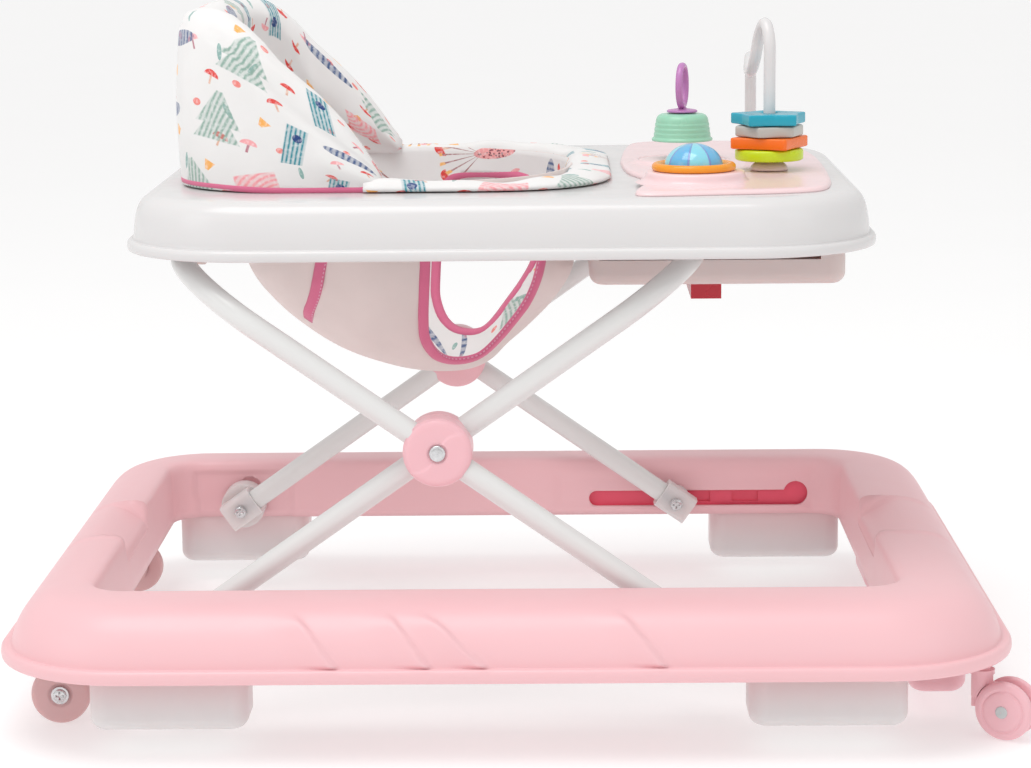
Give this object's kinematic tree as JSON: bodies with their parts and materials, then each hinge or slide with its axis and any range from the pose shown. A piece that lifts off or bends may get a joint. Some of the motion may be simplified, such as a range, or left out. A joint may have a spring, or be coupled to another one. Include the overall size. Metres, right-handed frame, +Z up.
{
  "type": "baby walker",
  "caption": "Folding baby walker: moulded ring base on wheels, scissor tube frame, tray with sling seat and toy panel.",
  "frame": {"origin": "on the floor, at the middle of the object's bounding box seen from above", "axes": "+X the way the child faces (toys at the front), +Y the child's left, +Z up"},
  "size_m": [0.7154, 0.596, 0.494],
  "materials": {
    "pink_moulding": "satin moulded plastic",
    "pink_fittings": "satin moulded plastic",
    "pink_panel": "satin moulded plastic",
    "frosted_plastic": "frosted translucent plastic",
    "pale_plastic": "matte moulded plastic",
    "grey_cap": "gloss",
    "red_plastic": "gloss",
    "bright_steel": "polished",
    "white_tube": "powder coat, semi-gloss",
    "white_moulding": "gloss moulded plastic",
    "printed_cloth": "printed woven polyester over thin wadding",
    "seat_cloth": "woven polyester",
    "mint": "gloss",
    "lilac": "gloss",
    "sky_blue": "gloss",
    "orange": "gloss",
    "lime": "gloss",
    "grey_toy": "satin",
    "teal": "gloss"
  },
  "bodies": {
    "base": {"base_ring": "pink_moulding", "rear_foot_left": "frosted_plastic", "rear_foot_right": "frosted_plastic", "front_foot_left": "frosted_plastic", "front_foot_right": "frosted_plastic", "front_stop_left": "frosted_plastic", "front_stop_right": "frosted_plastic", "rear_bracket_left": "pink_fittings", "rear_bracket_right": "pink_fittings", "pivot_boss_left": "frosted_plastic", "pivot_boss_right": "frosted_plastic", "caster_sleeves": "pale_plastic", "latch_rails": "red_plastic", "rear_axle_screws": "bright_steel", "pivot_screws": "bright_steel"},
    "arm_a": {"tube_a": "white_tube", "pivot_cap_left": "frosted_plastic", "pivot_cap_right": "frosted_plastic", "hub_cover_inner_left": "pink_fittings", "hub_cover_inner_right": "pink_fittings"},
    "arm_b": {"tube_b": "white_tube", "slider_cap_left": "frosted_plastic", "slider_cap_right": "frosted_plastic", "slider_stud_left": "frosted_plastic", "slider_stud_right": "frosted_plastic", "hub_cover_outer_left": "pink_fittings", "hub_cover_outer_right": "pink_fittings", "slider_screws": "bright_steel", "hub_rivets": "bright_steel"},
    "tray": {"tray_shell": "white_moulding", "tray_box": "pale_plastic", "tube_saddles": "pale_plastic", "tab_housing": "pale_plastic", "seat_back": "printed_cloth", "seat_collar": "printed_cloth", "seat_sling": "seat_cloth", "toy_panel": "pink_panel", "dome_ring": "orange", "toy_hoop": "white_moulding"},
    "release_tab": {"release_tab": "red_plastic"},
    "bell": {"bell": "mint"},
    "bell_knob": {"bell_knob": "lilac"},
    "spin_dome": {"spin_dome": "sky_blue"},
    "stack_ball": {"stack_ball": "pink_fittings"},
    "stack_disc": {"stack_disc": "lime"},
    "stack_square": {"stack_square": "orange"},
    "stack_shield": {"stack_shield": "grey_toy"},
    "stack_star": {"stack_star": "teal"},
    "rear_wheel_left": {"rear_wheel_left": "pink_fittings"},
    "caster_left": {"caster_fork_left": "pink_fittings"},
    "caster_roll_left": {"caster_wheel_left": "pink_fittings", "caster_axle_left": "bright_steel", "caster_cap_left": "grey_cap"},
    "rear_wheel_right": {"rear_wheel_right": "pink_fittings"},
    "caster_right": {"caster_fork_right": "pink_fittings"},
    "caster_roll_right": {"caster_wheel_right": "pink_fittings", "caster_axle_right": "bright_steel", "caster_cap_right": "grey_cap"}
  },
  "joints": [
    {"name": "height_fold", "type": "hinge", "parent": "base", "child": "arm_a", "pos_m": [-0.23275, 0, 0.0692], "axis": [0, -1, 0], "range_deg": [-28, 7]},
    {"name": "hub_scissor", "type": "hinge", "parent": "arm_a", "child": "arm_b", "pos_m": [-0.05275, 0, 0.19552], "axis": [0, -1, 0], "range_deg": [-14.2, 56.2]},
    {"name": "tray_level", "type": "hinge", "parent": "arm_b", "child": "tray", "pos_m": [-0.23275, 0, 0.32184], "axis": [0, -1, 0], "range_deg": [-28.1, 7.1]},
    {"name": "release_pull", "type": "slide", "parent": "tray", "child": "release_tab", "axis": [-1, 0, 0], "range_m": [0, 0.01], "stiffness_N_per_m": 500, "springref_m": -0.002},
    {"name": "bell_press", "type": "slide", "parent": "tray", "child": "bell", "axis": [0, 0, -1], "range_m": [0, 0.005], "stiffness_N_per_m": 500, "springref_m": -0.003},
    {"name": "knob_turn", "type": "hinge", "parent": "bell", "child": "bell_knob", "pos_m": [0.1243, 0.014, 0.4], "axis": [0, 0, 1], "continuous": true},
    {"name": "dome_spin", "type": "hinge", "parent": "tray", "child": "spin_dome", "pos_m": [0.1265, -0.124, 0.38], "axis": [0, 0, 1], "continuous": true},
    {"name": "ball_turn", "type": "hinge", "parent": "tray", "child": "stack_ball", "pos_m": [0.183, -0.068, 0.395], "axis": [0, 0, 1], "continuous": true},
    {"name": "disc_turn", "type": "hinge", "parent": "tray", "child": "stack_disc", "pos_m": [0.183, -0.068, 0.395], "axis": [0, 0, 1], "continuous": true},
    {"name": "square_turn", "type": "hinge", "parent": "tray", "child": "stack_square", "pos_m": [0.183, -0.068, 0.395], "axis": [0, 0, 1], "continuous": true},
    {"name": "shield_turn", "type": "hinge", "parent": "tray", "child": "stack_shield", "pos_m": [0.183, -0.068, 0.395], "axis": [0, 0, 1], "continuous": true},
    {"name": "star_turn", "type": "hinge", "parent": "tray", "child": "stack_star", "pos_m": [0.183, -0.068, 0.395], "axis": [0, 0, 1], "continuous": true},
    {"name": "rear_wheel_left_roll", "type": "hinge", "parent": "base", "child": "rear_wheel_left", "pos_m": [-0.32075, 0.189, 0.0209], "axis": [0, 1, 0], "continuous": true},
    {"name": "caster_left_swivel", "type": "hinge", "parent": "base", "child": "caster_left", "pos_m": [0.31925, 0.23, 0.04], "axis": [0, 0, 1], "continuous": true},
    {"name": "caster_left_roll", "type": "hinge", "parent": "caster_left", "child": "caster_roll_left", "pos_m": [0.33565, 0.23909, 0.0205], "axis": [-0.4848, 0.8746, 0], "continuous": true},
    {"name": "rear_wheel_right_roll", "type": "hinge", "parent": "base", "child": "rear_wheel_right", "pos_m": [-0.32075, -0.189, 0.0209], "axis": [0, 1, 0], "continuous": true},
    {"name": "caster_right_swivel", "type": "hinge", "parent": "base", "child": "caster_right", "pos_m": [0.31925, -0.23, 0.04], "axis": [0, 0, 1], "continuous": true},
    {"name": "caster_right_roll", "type": "hinge", "parent": "caster_right", "child": "caster_roll_right", "pos_m": [0.33565, -0.23909, 0.0205], "axis": [0.4848, 0.8746, 0], "continuous": true}
  ],
  "couplings": [
    {"joint": "hub_scissor", "follows": "height_fold", "ratio": -2},
    {"joint": "tray_level", "follows": "height_fold", "ratio": 1}
  ]
}
